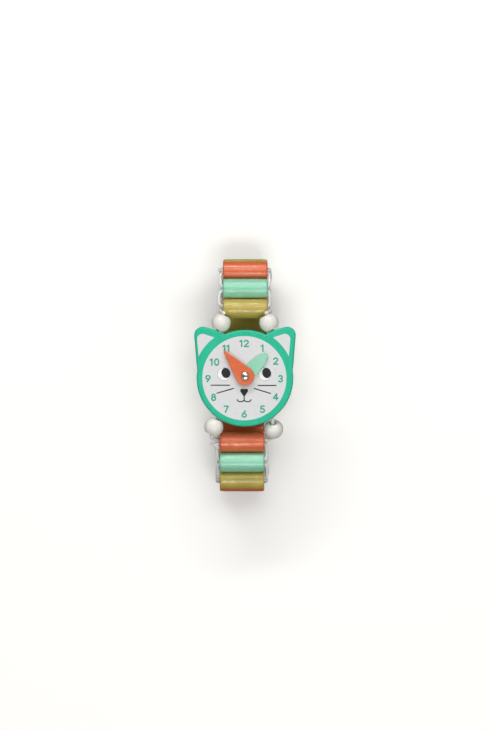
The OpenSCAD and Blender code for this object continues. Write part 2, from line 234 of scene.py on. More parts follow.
class Finish(Tree):
    def __init__(self, name, **constants):
        self.material = bpy.data.materials.new(name)
        super().__init__(self.material, "Principled BSDF")
        for socket, value in constants.items():
            self.feed(socket.replace("_", " "), value)

    def place(self, stretch=(1, 1, 1)):
        """Position on the object in metres, stretched along its axes."""
        coordinates = self.node("ShaderNodeTexCoord", {}, {}, "Object")
        return self.node("ShaderNodeVectorMath", {"operation": "MULTIPLY"}, {0: coordinates, 1: stretch})

    def noise(self, where, scale, detail=4.0, roughness=0.55):
        return self.node("ShaderNodeTexNoise", {},
                         {"Vector": where, "Scale": scale, "Detail": detail, "Roughness": roughness})

    def band(self, value, low, high):
        return self.node("ShaderNodeMapRange", {"interpolation_type": "SMOOTHSTEP"},
                         {"Value": value, "From Min": low, "From Max": high})

    def mix(self, share, first, second):
        return self.node("ShaderNodeMix", {"data_type": "RGBA"}, {0: share, 6: first, 7: second}, 2)

    def edge(self):
        """About 0.5 on flat ground, more on ridges and less in dents."""
        return self.node("ShaderNodeNewGeometry", {}, {}, "Pointiness")

    def bump(self, height, distance):
        return self.node("ShaderNodeBump", {}, {"Height": height, "Distance": distance})


# %% [markdown]
# ## Lacquered wood
# The barrels are turned from a pale hardwood and dipped in an opaque, glossy lacquer. Two things give
# them away as wood: the lengthwise grain shows through the lacquer and breaks up the highlight into
# short streaks, and the colour is a little thinner on edges. So the grain is a noise that is stretched
# along the barrel's axis, and it feeds the bump and, faintly, the colour and the roughness. The
# clear coat on top lies smooth, so its weight is broken into specks, which make the highlight sparkle.


# %% Lacquer for turned and flat wood
def lacquer(name, colour, light, deep, along, grain_scale=1900.0, grain_depth=0.00012, gloss=0.24,
            coat=0.9):
    """along is the axis that the grain follows: 0, 1 or 2."""
    finish = Finish(name, Coat_Roughness=0.17, Specular_IOR_Level=0.5)

    def drawn_out(share, scale, detail, roughness):
        """A noise that is drawn out along the grain: the smaller the share, the longer."""
        stretch = [1.0, 1.0, 1.0]
        stretch[along] = share
        return finish.noise(finish.place(stretch), scale, detail, roughness)

    streaks = drawn_out(0.25, grain_scale, 6.0, 0.65)
    fibres = drawn_out(0.07, grain_scale * 1.6, 3.0, 0.6)
    clouds = finish.noise(finish.place(), 150.0, 2.0)
    pale = finish.band(streaks, 0.5, 0.72) * 0.3 + finish.band(clouds, 0.5, 0.75) * 0.3
    dark = finish.band(streaks, 0.48, 0.3) * 0.3 + finish.band(fibres, 0.42, 0.25) * 0.35
    worn = finish.band(finish.edge(), 0.53, 0.62) * 0.4
    base = finish.mix(pale.clamped(), colour, light)
    base = finish.mix(dark.clamped(), base, deep)
    finish.feed("Base Color", finish.mix(worn, base, light))
    finish.feed("Roughness", gloss + streaks * 0.16)
    specks = drawn_out(0.45, grain_scale * 1.1, 2.0, 0.5)
    finish.feed("Coat Weight", finish.band(specks, 0.44, 0.6) * coat)
    height = streaks * 0.8 + fibres * 0.4 + clouds * 0.2
    finish.feed("Normal", finish.bump(height, grain_depth))
    return finish.material


ALONG_X, ALONG_Y = 0, 1
BARREL_TONES = {
    "orange_lacquer": (tone(224, 106, 60), tone(238, 140, 98), tone(188, 78, 38)),
    "mint_lacquer": (tone(142, 213, 182), tone(172, 232, 208), tone(110, 184, 150)),
    "olive_lacquer": (tone(188, 168, 74), tone(222, 206, 122), tone(152, 132, 40)),
}
barrel_lacquers = [(name, lacquer(name, *tones, ALONG_X)) for name, tones in BARREL_TONES.items()]
green_lacquer = lacquer("green_lacquer", tone(8, 188, 149), tone(44, 204, 168), tone(4, 168, 131),
                        ALONG_Y, 800.0, 0.00001, 0.42, 0.12)
hand_orange = lacquer("hand_orange", tone(222, 104, 58), tone(236, 136, 94), tone(194, 82, 42),
                      ALONG_X, 1100.0, 0.000016, 0.5, 0.1)
hand_mint = lacquer("hand_mint", tone(146, 214, 184), tone(178, 232, 208), tone(122, 196, 164),
                    ALONG_X, 1100.0, 0.000016, 0.5, 0.1)
white_lacquer = lacquer("white_lacquer", tone(238, 236, 229), tone(248, 247, 243), tone(216, 211, 199),
                        ALONG_Y, 1500.0, 0.00003, 0.34, 0.2)
print("lacquers made:", len(barrel_lacquers) + 4)

# %% [markdown]
# ## The barrels
# A barrel is turned on a lathe, so we turn it too: an outline of radius against height, spun round
# the bore. A lathe tool and a brush never leave a perfect cylinder. We let the radius wander by a few
# hundredths of a millimetre, slowly round the barrel and slowly along it, which bends the highlight
# as it does on the real bead.

# %% Barrel sizes and outline
BARREL_L, BARREL_D, BARREL_SWELL = 18.0, 7.7, 0.1
BARREL_EDGE, BARREL_BORE_D, BORE_LIP = 0.7, 3.24, 0.3
BARREL_STRAIGHT = 0.5
BARREL_SIDES, BARREL_SLICES = 128, 36
WANDER = 0.035


def barrel_outline():
    half, end_r = BARREL_L / 2, BARREL_D / 2
    lip = arc((BARREL_BORE_D / 2 + BORE_LIP, BORE_LIP - half), BORE_LIP, 180, 270, 4)
    edge = arc((end_r - BARREL_EDGE, BARREL_EDGE - half), BARREL_EDGE, -90, 0, 7)
    lower = lip + edge
    wall = []
    for k in range(1, BARREL_SLICES):
        share = 2 * k / BARREL_SLICES - 1
        taper = max(0.0, (abs(share) - BARREL_STRAIGHT) / (1 - BARREL_STRAIGHT))
        wall.append((end_r + BARREL_SWELL * (1 - taper ** 2), share * (half - BARREL_EDGE)))
    return lower + wall + [(r, -h) for r, h in reversed(lower)]


def wander(seed, amount):
    """A slow unevenness of a turned surface, none inside the bore."""
    def shape(radius, height, angle):
        if radius < BARREL_BORE_D / 2 + BORE_LIP:
            return 0.0
        where = Vector((math.cos(angle) * 1.3, math.sin(angle) * 1.3, height * 0.16 + seed * 7.3))
        fine = Vector((math.cos(angle) * 6, math.sin(angle) * 6, height * 0.1 + seed * 3.1))
        return amount * (noise.noise(where) + 0.35 * noise.noise(fine)) - amount * 0.4
    return shape


# %% Turn the eighteen barrels
along_barrel = Matrix.Rotation(math.pi / 2, 4, "Y")
for i in range(1, BARRELS + 1):
    spot = Matrix.Translation(barrel_middle[i]) @ along_barrel
    turn = Matrix.Rotation(i * 1.7, 4, "Z")
    points, faces = lathe(barrel_outline(), BARREL_SIDES, spot @ turn, wander(i, WANDER))
    slot, finish = barrel_lacquers[(i - 1) % len(barrel_lacquers)]
    barrel = mesh_object(f"barrel_bead_{i:02d}", points, faces, finish)
    hang(tidy_normals(barrel), f"barrel_{i:02d}", [f"barrel_{i:02d}"], slot)
print("barrels turned:", BARRELS, "with", len(points), "points each")

# %% [markdown]
# ## The round beads
# Four white beads sit in the corners between the plate and the first barrels. A turned ball is cut
# flat where the hole comes out, so it is shorter along its hole. Three of them sit flat against the
# plate's edge and lean with it, and the fourth hangs down on a short stretch of bare cord.

# %% Bead sizes and places
BEAD_D, BEAD_L, BEAD_BORE_D, BEAD_LIP = 7.7, 6.2, 2.6, 0.35
BEAD_CHAMFER, BEAD_FLAT_INSET = 0.12, 0.25
BEAD_SIDES, BEAD_WANDER = 96, 0.03
# Side of the centre line, end of the dial, lean of the hole away from that line and tilt down
BEADS = {"top_left": (-1, 1, -24, 0), "top_right": (1, 1, -24, 0),
         "bottom_left": (-1, -1, 22, 0), "bottom_right": (1, -1, 6, 33)}


def bead_direction(name):
    """Direction of the hole, away from the plate."""
    side, end, lean, tilt = BEADS[name]
    lean, tilt = math.radians(lean), math.radians(tilt)
    flat = math.cos(tilt)
    return Vector((side * math.sin(lean) * flat, end * math.cos(lean) * flat, -math.sin(tilt)))


def bead_outline():
    ball, half = BEAD_D / 2, BEAD_L / 2
    top = math.degrees(math.asin((half - BEAD_CHAMFER) / ball))
    side = arc((0, 0), ball, -top, top, 26)
    rim = BEAD_BORE_D / 2 + BEAD_LIP
    lip = arc((rim, BEAD_LIP - half), BEAD_LIP, 180, 270, 4)
    lower = lip + [(side[0][0] - BEAD_FLAT_INSET, -half)]
    return lower + side + [(r, -h) for r, h in reversed(lower)]


# %% Turn the four round beads
for k, name in enumerate(BEAD_NAMES):
    aim = bead_direction(name).to_track_quat("Z", "Y").to_matrix().to_4x4()
    spot = Matrix.Translation(bead_middle[name]) @ aim
    points, faces = lathe(bead_outline(), BEAD_SIDES, spot, wander(k + 40, BEAD_WANDER))
    bead = mesh_object(f"white_bead_{name}", points, faces, white_lacquer)
    hang(tidy_normals(bead), f"round_bead_{name}", [f"round_bead_{name}"], "white_lacquer")
print("round beads at", {n: [round(v, 1) for v in p] for n, p in bead_middle.items()})

# %% [markdown]
# ## The dial plate
# The plate is sawn from board with its ears, its edges are rounded over and it is dipped in green
# lacquer. Seen from the dial's middle, the outline is a distance for every direction. So we ask, for
# each direction, how far the round dial reaches and how far the ears reach, and keep the larger. Then
# the outline is drawn in step by step to round the edge over.

# %% The outline as a distance for every direction
PLATE_T, PLATE_EDGE = 5.0, 0.8
EAR_CORNERS = [
    {"radius": 3.4, "out": DIAL_R + 8.2 - 3.4, "angle": 44.5},
    {"radius": 3.0, "out": DIAL_R + 0.5 - 3.0, "angle": 31.6},
    {"radius": 3.0, "out": DIAL_R + 4.9 - 3.0, "angle": 38.2},
    {"radius": 2.6, "out": DIAL_R + 0.5 - 2.6, "angle": 75.0},
]
RIVET_D, SHANK_PLAY = 2.4, 0.04
OUTLINE_STEPS = 900


def corner_points(corner, steps=72):
    turn = math.radians(corner["angle"])
    middle = (corner["out"] * math.sin(turn), corner["out"] * math.cos(turn))
    return arc(middle, corner["radius"], 0, 360, steps)


def convex(points):
    """Outer hull of flat points, one chain at a time."""
    points = sorted(set(points))

    def chain(row):
        kept = []
        for p in row:
            while len(kept) > 1:
                (ax, ay), (bx, by) = kept[-2], kept[-1]
                if (bx - ax) * (p[1] - ay) - (by - ay) * (p[0] - ax) > 0:
                    break
                kept.pop()
            kept.append(p)
        return kept[:-1]
    return chain(points) + chain(list(reversed(points)))


ear_right = convex([point for corner in EAR_CORNERS for point in corner_points(corner)])


def reach(polygon, angle):
    """How far a ray from the middle runs before it leaves the polygon for good."""
    dx, dy = math.sin(angle), math.cos(angle)
    far = 0.0
    for (ax, ay), (bx, by) in zip(polygon, polygon[1:] + polygon[:1]):
        ex, ey = bx - ax, by - ay
        turn = dx * ey - dy * ex
        if abs(turn) < 1e-12:
            continue
        out = (ax * ey - ay * ex) / turn
        share = (ax * dy - ay * dx) / turn
        if 0 <= share <= 1:
            far = max(far, out)
    return far


def plate_reach(angle):
    bent = abs((angle + math.pi) % (2 * math.pi) - math.pi)
    return max(DIAL_R, reach(ear_right, bent))


plate_outline = []
for k in range(OUTLINE_STEPS):
    direction = 2 * math.pi * k / OUTLINE_STEPS
    out = plate_reach(direction)
    plate_outline.append((out * math.sin(direction), out * math.cos(direction)))
print("plate width", round(2 * max(p[0] for p in plate_outline), 2), "mm")


# %% Draw the outline in and stack it into a solid
def drawn_in(outline, inset):
    points = []
    count = len(outline)
    for k, (x, y) in enumerate(outline):
        (ax, ay), (bx, by) = outline[k - 1], outline[(k + 1) % count]
        nx, ny = -(by - ay), bx - ax
        size = math.hypot(nx, ny)
        points.append((x + inset * nx / size, y + inset * ny / size))
    return points


def between(outline, hole, share):
    """Ring between a round hole (share 0) and the outline (share 1)."""
    hole_y, hole_r = hole
    ring = []
    for x, y in outline:
        out = math.hypot(x, y - hole_y)
        r = hole_r + (out - hole_r) * share
        ring.append((x * r / out, hole_y + (y - hole_y) * r / out))
    return ring


def stacked_plate(outline, thickness, edge, hole, steps=7, spread=(0.02, 0.1, 0.3, 0.55, 0.8, 0.97)):
    """Rings of a rounded plate that stands on z = 0, from the hole's lower rim round to its upper."""
    inset = [(edge * (1 - math.cos(math.radians(90 * k / steps))),
              edge * (1 - math.sin(math.radians(90 * k / steps)))) for k in range(steps + 1)]
    inner = drawn_in(outline, -edge)
    rings = [[(x, y, 0.0) for x, y in between(inner, hole, share)] for share in (0.0,) + spread]
    for side, order in ((0, reversed(inset)), (1, inset)):
        for draw, rise in order:
            height = rise if side == 0 else thickness - rise
            rings.append([(x, y, height) for x, y in drawn_in(outline, -draw)])
    rings += [[(x, y, thickness) for x, y in between(inner, hole, share)]
              for share in tuple(reversed(spread)) + (0.0,)]
    return rings


# %% Saw the plate, drill the cord's bores and sink the washer's seat
CORD_D, CORD_BORE_D, WASHER_SEAT_D = 1.2, 1.8, 6.4
CORD_X = EAR_CORNERS[1]["out"] * math.sin(math.radians(EAR_CORNERS[1]["angle"])) + 2.2
washer_low, washer_high = node_box("back_washer")


def plate_mesh(name, rings, base, finish):
    points = [Vector(p) + base for ring in rings for p in ring]
    return tidy_normals(mesh_object(name, points, ring_faces(len(rings), len(rings[0]), True), finish))


def drilled(obj, tools):
    for tool in tools:
        cut = obj.modifiers.new("drill", "BOOLEAN")
        cut.operation = "DIFFERENCE"
        cut.object = tool
        cut.solver = "EXACT"
    kept = bpy.data.meshes.new_from_object(obj.evaluated_get(bpy.context.evaluated_depsgraph_get()))
    obj.modifiers.clear()
    obj.data = kept
    for tool in tools:
        bpy.data.objects.remove(tool)
    return obj


def drill(name, middle, direction, diameter, length):
    aim = Vector(direction).to_track_quat("Z", "Y").to_matrix().to_4x4()
    radius, half = diameter / 2, length / 2
    rod = [(ON_AXIS, -half), (radius, -half), (radius, half), (ON_AXIS, half)]
    points, faces = lathe(rod, 32, Matrix.Translation(middle) @ aim)
    return tidy_normals(mesh_object(name, points, faces, green_lacquer))


plate_base = Vector((dial_middle.x, dial_middle.y, plate_low.z))
rivet_hole = (RIVET_RISE, RIVET_D / 2 + SHANK_PLAY)
plate = plate_mesh("green_dial_plate", stacked_plate(plate_outline, PLATE_T, PLATE_EDGE, rivet_hole),
                   plate_base, green_lacquer)
plate_mid = plate_base + Vector((0, 0, PLATE_T / 2))
seat_depth = washer_high.z - plate_low.z
seat_middle = Vector((0, rivet_middle.y, plate_low.z + seat_depth / 2 - 1))
tools = [drill(f"drill_{side}", plate_mid + Vector((side * CORD_X, 0, 0)), (0, 1, 0), CORD_BORE_D, 60.0)
         for side in (-1, 1)]
tools.append(drill("drill_seat", seat_middle, (0, 0, 1), WASHER_SEAT_D, seat_depth + 2))
bpy.context.view_layer.update()
plate = drilled(plate, tools)
plate.data.polygons.foreach_set("use_smooth", [True] * len(plate.data.polygons))
hang(plate, "dial", ["dial_plate"], "green_lacquer")
print("plate faces:", len(plate.data.polygons))

# %% [markdown]
# ## The printed face
# The face is screen printed: a white disc, white inner ears, teal numerals and a black cat's face.
# Ink has a thickness, if a tiny one, and it lies on the lacquer. So each print is a real, very thin
# solid that stands a few hundredths of a millimetre proud, and the black lies on the white.

# %% Inks
def ink(name, colour, other, gloss):
    finish = Finish(name, Specular_IOR_Level=0.45)
    patches = finish.noise(finish.place(), 700.0, 4.0)
    grain = finish.noise(finish.place((1, 0.12, 1)), 1500.0, 3.0)
    finish.feed("Base Color", finish.mix(finish.band(patches, 0.4, 0.75) * 0.6, colour, other))
    finish.feed("Roughness", gloss + patches * 0.12)
    finish.feed("Normal", finish.bump(grain + patches * 0.6, 0.000012))
    return finish.material


white_ink = ink("white_ink", tone(221, 223, 224), tone(212, 215, 217), 0.5)
eye_ink = ink("eye_ink", tone(246, 247, 247), tone(238, 240, 240), 0.45)
outline_ink = ink("outline_ink", tone(160, 164, 166), tone(148, 153, 155), 0.5)
teal_ink = ink("teal_ink", tone(46, 166, 143), tone(70, 178, 156), 0.5)
black_ink = ink("black_ink", tone(20, 21, 23), tone(30, 31, 33), 0.4)

# %% Flat prints from outlines
WHITE_LAYER, BLACK_LAYER = 0.03, 0.05
PRINT_SINK = 0.04


def print_point(work, x, y):
    """A point of a print's underside, which lies a little way down in the lacquer."""
    return work.verts.new((Vector((x, y, -PRINT_SINK)) + dial_middle) * MM)


def finish_print(name, work, finish, level):
    """Lifts a flat print into a thin solid that stands proud by its level."""
    lifted = bmesh.ops.extrude_face_region(work, geom=work.faces[:])
    for part in lifted["geom"]:
        if isinstance(part, bmesh.types.BMVert):
            part.co.z += (PRINT_SINK + level) * MM
    bmesh.ops.recalc_face_normals(work, faces=work.faces)
    mesh = bpy.data.meshes.new(name)
    work.to_mesh(mesh)
    work.free()
    mesh.materials.append(finish)
    return hang(place_in_scene(name, mesh), "dial", slot="green_lacquer")


def print_shape(name, outlines, finish, level):
    """Thin solids over closed outlines, given from the dial's middle."""
    work = bmesh.new()
    for outline in outlines:
        work.faces.new([print_point(work, x, y) for x, y in outline])
    return finish_print(name, work, finish, level)


# %% White disc and inner ears
FACE_R = 16.85
PRINT_SHIFT = (-0.25, 0.0)
EAR_PATCH = {"inner": (11.7, 16.3), "outer": (17.9, 8.7), "tip": (16.5, 15.6), "tip_r": 2.15,
             "arc_r": 20.05}


def ear_patch(side):
    start, end = [math.degrees(math.atan2(y, x)) for x, y in (EAR_PATCH["inner"], EAR_PATCH["outer"])]
    base = arc((0, 0), EAR_PATCH["arc_r"], end, start, 16)
    crown = arc(EAR_PATCH["tip"], EAR_PATCH["tip_r"], 112, -6, 14)
    return [(side * x + PRINT_SHIFT[0] * 2, y + PRINT_SHIFT[1]) for x, y in base + crown]


print_shape("printed_face", [arc(PRINT_SHIFT, FACE_R, 0, 357, 119)], white_ink, WHITE_LAYER)
print_shape("printed_ears", [ear_patch(-1), ear_patch(1)], white_ink, WHITE_LAYER)

# %% [markdown]
# ## Numerals
# The hours are plain numerals in a rounded sans. We draw each digit ourselves, as strokes of even
# width along lines and arcs, in a box one unit high. Where strokes meet at a sharp angle, outlines
# cross each other. A distance field has no such trouble: a point belongs to the print if it is nearer
# to any stroke than half its width. We walk over a fine grid and cut each cell along that border.

# %% Distance to strokes
def to_line(x, y, a, b):
    ex, ey = b[0] - a[0], b[1] - a[1]
    size = ex * ex + ey * ey
    share = min(max(((x - a[0]) * ex + (y - a[1]) * ey) / size, 0.0), 1.0)
    return math.hypot(x - a[0] - share * ex, y - a[1] - share * ey)


def stroke_field(paths, width):
    """Negative inside a print of even width along all paths."""
    lines = [line for path in paths for line in zip(path, path[1:])]
    return lambda x, y: min(to_line(x, y, a, b) for a, b in lines) - width / 2


# %% Print strokes
FIELD_STEP = 0.07


def print_strokes(name, paths, width, finish, level):
    """Thin solid of even width along all paths, given from the dial's middle."""
    field = stroke_field(paths, width)
    xs, ys = zip(*[point for path in paths for point in path])
    left, bottom = min(xs) - width, min(ys) - width
    columns = int((max(xs) + width - left) / FIELD_STEP) + 2
    rows = int((max(ys) + width - bottom) / FIELD_STEP) + 2
    value = [[field(left + i * FIELD_STEP, bottom + j * FIELD_STEP) for j in range(rows)]
             for i in range(columns)]
    work, made = bmesh.new(), {}

    def vertex(first, second):
        """The grid point itself, or where the border crosses the line between two of them."""
        key = (first, second) if first <= second else (second, first)
        if key not in made:
            (ai, aj), (bi, bj) = key
            cut = 0.0 if first == second else value[ai][aj] / (value[ai][aj] - value[bi][bj])
            made[key] = print_point(work, left + (ai + (bi - ai) * cut) * FIELD_STEP,
                                    bottom + (aj + (bj - aj) * cut) * FIELD_STEP)
        return made[key]

    for i in range(columns - 1):
        for j in range(rows - 1):
            corners = [(i, j), (i + 1, j), (i + 1, j + 1), (i, j + 1)]
            row = []
            for here, after in zip(corners, corners[1:] + corners[:1]):
                inside, next_inside = value[here[0]][here[1]] < 0, value[after[0]][after[1]] < 0
                if inside:
                    row.append(vertex(here, here))
                if inside != next_inside:
                    row.append(vertex(here, after))
            if len(row) > 2:
                work.faces.new(row)
    return finish_print(name, work, finish, level)


# %% Digits as strokes
NUMERAL_H, NUMERAL_WIDEN, NUMERAL_STROKE = 3.05, 1.15, 0.6
NUMERAL_RING, NUMERAL_MIDDLE = (14.5, 14.1), (-0.3, -0.2)
NUDGE = {4: (0.0, -0.2), 8: (0.3, -0.4), 10: (0.7, -0.4), 11: (0.0, -0.1)}
DIGITS = {
    "0": (0.62, [[(0.31 + 0.225 * math.cos(t), 0.5 + 0.4 * math.sin(t))
                  for t in [math.radians(90 + 12 * k) for k in range(31)]]]),
    "1": (0.34, [[(0.04, 0.76), (0.23, 0.9), (0.23, 0.1)]]),
    "2": (0.58, [arc((0.29, 0.67), 0.225, 165, -35, 12) + [(0.07, 0.1), (0.53, 0.1)]]),
    "3": (0.58, [arc((0.28, 0.7), 0.195, 150, -90, 14), arc((0.28, 0.305), 0.205, 90, -150, 14)]),
    "4": (0.62, [[(0.42, 0.1), (0.42, 0.9), (0.06, 0.32), (0.57, 0.32)]]),
    "5": (0.58, [[(0.49, 0.9), (0.16, 0.9), (0.11, 0.55)] + arc((0.28, 0.335), 0.235, 105, -150, 14)]),
    "6": (0.6, [[(0.4, 0.9), (0.11, 0.43)] + arc((0.3, 0.325), 0.225, 150, 510, 24)]),
    "7": (0.56, [[(0.06, 0.9), (0.5, 0.9), (0.2, 0.1)]]),
    "8": (0.6, [arc((0.3, 0.715), 0.18, -90, 270, 22), arc((0.3, 0.32), 0.22, 90, 450, 24)]),
    "9": (0.6, [arc((0.3, 0.675), 0.225, -30, 330, 24) + [(0.2, 0.1)]]),
}


def numeral(text, middle):
    space = 0.12
    width = sum(DIGITS[d][0] for d in text) + space * (len(text) - 1)
    x, paths = -width / 2, []
    for digit in text:
        advance, strokes = DIGITS[digit]
        paths += [[(middle[0] + (x + px) * NUMERAL_H * NUMERAL_WIDEN, middle[1] + (py - 0.5) * NUMERAL_H)
                   for px, py in path] for path in strokes]
        x += advance + space
    return paths


for hour in range(1, 13):
    turn = math.radians(30 * hour)
    nudge = NUDGE.get(hour, (0.0, 0.0))
    spot = (NUMERAL_MIDDLE[0] + nudge[0] + NUMERAL_RING[0] * math.sin(turn),
            NUMERAL_MIDDLE[1] + nudge[1] + NUMERAL_RING[1] * math.cos(turn))
    print_strokes(f"numeral_{hour:02d}", numeral(str(hour), spot), NUMERAL_STROKE, teal_ink, BLACK_LAYER)
print("numerals printed on a ring of", NUMERAL_RING, "mm")

# %% [markdown]
# ## The cat's face
# Two white eyes with a fine outline, dark pupils that look to one side, four whiskers, a heart-shaped
# nose and a mouth of two small arcs. All are flat shapes again, so they share the printing helper.

# %% Eyes, nose, mouth and whiskers
EYES = [(-8.4, 1.6), (7.9, 1.6)]
EYE_R, EYE_LINE, PUPIL = 2.5, 0.16, (1.76, 2.08)
PUPIL_SHIFT, PUPIL_LEAN = (0.75, 0.5), 18
WHISKERS = [((-13.6, -2.8), (-6.2, -2.8)), ((-11.2, -6.0), (-4.6, -4.1)),
            ((5.2, -2.9), (12.4, -2.9)), ((3.7, -4.1), (10.2, -6.1))]
LINE_W = 0.44
NOSE = {"x": -0.35, "top": -4.2, "tip": -7.2, "lobe": 0.8, "spread": 0.78}
MOUTH = {"y": -8.6, "ends": (-3.1, 2.4), "sag": 0.8}


def oval(middle, radii, lean, steps=40):
    turn = math.radians(lean)
    points = []
    for k in range(steps):
        t = 2 * math.pi * k / steps
        x, y = radii[0] * math.cos(t), radii[1] * math.sin(t)
        points.append((middle[0] + x * math.cos(turn) - y * math.sin(turn),
                       middle[1] + x * math.sin(turn) + y * math.cos(turn)))
    return points


eye_rings = [oval(eye, (EYE_R + EYE_LINE,) * 2, 0) for eye in EYES]
print_shape("eye_outlines", eye_rings, outline_ink, WHITE_LAYER + 0.01)
print_shape("eyes", [oval(eye, (EYE_R,) * 2, 0) for eye in EYES], eye_ink, WHITE_LAYER + 0.02)
pupils = [oval((x + PUPIL_SHIFT[0], y + PUPIL_SHIFT[1]), PUPIL, PUPIL_LEAN) for x, y in EYES]
print_shape("pupils", pupils, black_ink, BLACK_LAYER + 0.02)
print_strokes("whiskers", WHISKERS, LINE_W, black_ink, BLACK_LAYER)

middle_x, lobe_y = NOSE["x"], NOSE["top"] - NOSE["lobe"]
nose = (arc((middle_x - NOSE["spread"], lobe_y), NOSE["lobe"], 200, 60, 8)
        + arc((middle_x + NOSE["spread"], lobe_y), NOSE["lobe"], 120, -20, 8)
        + arc((middle_x, NOSE["tip"] + 0.3), 0.35, -35, -145, 5))
print_shape("nose", [nose], black_ink, BLACK_LAYER)
mouth = [[(middle_x, NOSE["tip"] + 0.2), (middle_x, MOUTH["y"])]]
for end_x in MOUTH["ends"]:
    half = (end_x - middle_x) / 2
    mouth.append([(middle_x + half - half * math.cos(t), MOUTH["y"] - MOUTH["sag"] * math.sin(t))
                  for t in [math.radians(15 * k) for k in range(13)]])
print_strokes("mouth", mouth, LINE_W, black_ink, BLACK_LAYER)
print("face printed")

# %% [markdown]
# ## The hands
# Both hands are sawn from thin ply, painted all over and threaded on the rivet. We reuse the plate's
# way: an outline about the rivet as a distance for every direction, drawn in to round its edges.

# %% Outlines of both hands
HAND_T, HAND_EDGE, HAND_PLAY = 1.0, 0.22, 0.06
HAND_STEPS, HAND_SPREAD = 4, (0.15, 0.5, 0.85)
MINUTE = {"length": 13.0, "round_r": 3.7, "tip_r": 0.5, "angle": -40.0}
HOUR = {"length": 12.6, "width": 5.4, "angle": 45.0}


def outline_from(polygon, steps=360):
    ring = []
    for k in range(steps):
        direction = 2 * math.pi * k / steps
        out = reach(polygon, direction)
        ring.append((out * math.sin(direction), out * math.cos(direction)))
    return ring


teardrop = convex(arc((0, 0), MINUTE["round_r"], 0, 360, 120)
                  + arc((0, MINUTE["length"] - MINUTE["tip_r"]), MINUTE["tip_r"], 0, 360, 24))


def leaf_half_width(y):
    """Half the leaf's width at a height y above the rivet."""
    middle, half = HOUR["length"] * 0.38, HOUR["length"] * 0.72
    bow = (half ** 2 + (HOUR["width"] / 2) ** 2) / HOUR["width"]
    inside = bow ** 2 - (y - middle) ** 2
    return max(math.sqrt(inside) - (bow - HOUR["width"] / 2), 0.0)


leaf_right = [(leaf_half_width(y), y) for y in [HOUR["length"] * 0.985 * k / 40 for k in range(41)]]
leaf = convex(leaf_right + [(-x, y) for x, y in leaf_right] + [(0, HOUR["length"])]
              + arc((0, 0), HOUR["width"] / 2, 0, 360, 90))


def make_hand(name, polygon, angle, base_z, finish, slot):
    turn = Matrix.Rotation(math.radians(-angle), 3, "Z")
    rings = stacked_plate(outline_from(polygon), HAND_T, HAND_EDGE, (0, RIVET_D / 2 + HAND_PLAY),
                          HAND_STEPS, HAND_SPREAD)
    base = Vector((rivet_middle.x, rivet_middle.y, base_z))
    turned_rings = [[turn @ Vector(p) for p in ring] for ring in rings]
    hand = plate_mesh("painted_" + name, turned_rings, base, finish)
    return hang(hand, name, [name], slot)


make_hand("hour_hand", leaf, HOUR["angle"], hour_low.z, hand_mint, "mint_lacquer")
make_hand("minute_hand", teardrop, MINUTE["angle"], minute_low.z, hand_orange, "orange_lacquer")
print("hands at heights", round(hour_low.z, 2), round(minute_low.z, 2))

# %% [markdown]
# ## The rivet
# A nickel-plated rivet holds the hands. Its head is a low dome, its tail is spread over a washer at
# the back. Metal shows its surroundings, so it needs little colour and fine scratches in its bump.

# %% Metal
steel = Finish("nickel_plate", Metallic=1.0)
scratches = steel.noise(steel.place(), 2500.0, 6.0, 0.7)
smudges = steel.noise(steel.place(), 400.0, 3.0)
steel.feed("Base Color", steel.mix(steel.band(smudges, 0.35, 0.7), tone(226, 222, 208), tone(196, 190, 172)))
steel.feed("Roughness", 0.16 + smudges * 0.14)
steel.feed("Normal", steel.bump(scratches, 0.000008))

# %% Turn the rivet and the washer
rivet_low, rivet_high = node_box("rivet")
RIVET_HEAD_D, RIVET_HEAD_H, RIVET_TAIL_D, RIVET_TAIL_H = 3.4, 0.9, 3.6, 0.6
WASHER_D, WASHER_SOFT = 5.6, 0.12
CAP_STEPS = 14


def cap_outline(diameter, height, foot, up):
    """A low dome with a soft rim, from its rim to its middle."""
    points = []
    for k in range(CAP_STEPS + 1):
        turn = k / CAP_STEPS * math.pi / 2
        rise = height * math.sin(turn) ** 0.8
        points.append((max(diameter / 2 * math.cos(turn), ON_AXIS), foot + up * rise))
    return points


head_foot = rivet_high.z - RIVET_HEAD_H
tail_foot = rivet_low.z + RIVET_TAIL_H
rivet_outline = (list(reversed(cap_outline(RIVET_TAIL_D, RIVET_TAIL_H, tail_foot, -1)))
                 + [(RIVET_D / 2, tail_foot), (RIVET_D / 2, head_foot)]
                 + cap_outline(RIVET_HEAD_D, RIVET_HEAD_H, head_foot, 1))
axis = Matrix.Translation(Vector((rivet_middle.x, rivet_middle.y, 0)))
points, faces = lathe(rivet_outline, 64, axis)
hang(tidy_normals(mesh_object("nickel_rivet", points, faces, steel.material)), "dial", ["rivet"], "steel")

washer_r = WASHER_D / 2
washer_outline = [(RIVET_D / 2 + SHANK_PLAY, washer_low.z), (washer_r - WASHER_SOFT, washer_low.z),
                  (washer_r, washer_low.z + WASHER_SOFT), (washer_r, washer_high.z - WASHER_SOFT),
                  (washer_r - WASHER_SOFT, washer_high.z), (RIVET_D / 2 + SHANK_PLAY, washer_high.z)]
points, faces = lathe(washer_outline, 64, axis)
washer = tidy_normals(mesh_object("nickel_washer", points, faces, steel.material))
hang(washer, "dial", ["back_washer"], "steel")
print("rivet from", round(rivet_low.z, 2), "to", round(rivet_high.z, 2), "mm")

# %% [markdown]
# ## The elastic cord
# One covered elastic runs up both sides of the strap. Between two barrels it leaves one bore, bows
# out past the barrels' ends and dives into the next bore, so that every bore holds two strands. Each
# stretch rides on its own link body. We sweep a round section along a smooth curve, and keep the
# distance along the cord in the UV map, so that the braid's slanting threads can be drawn from it.

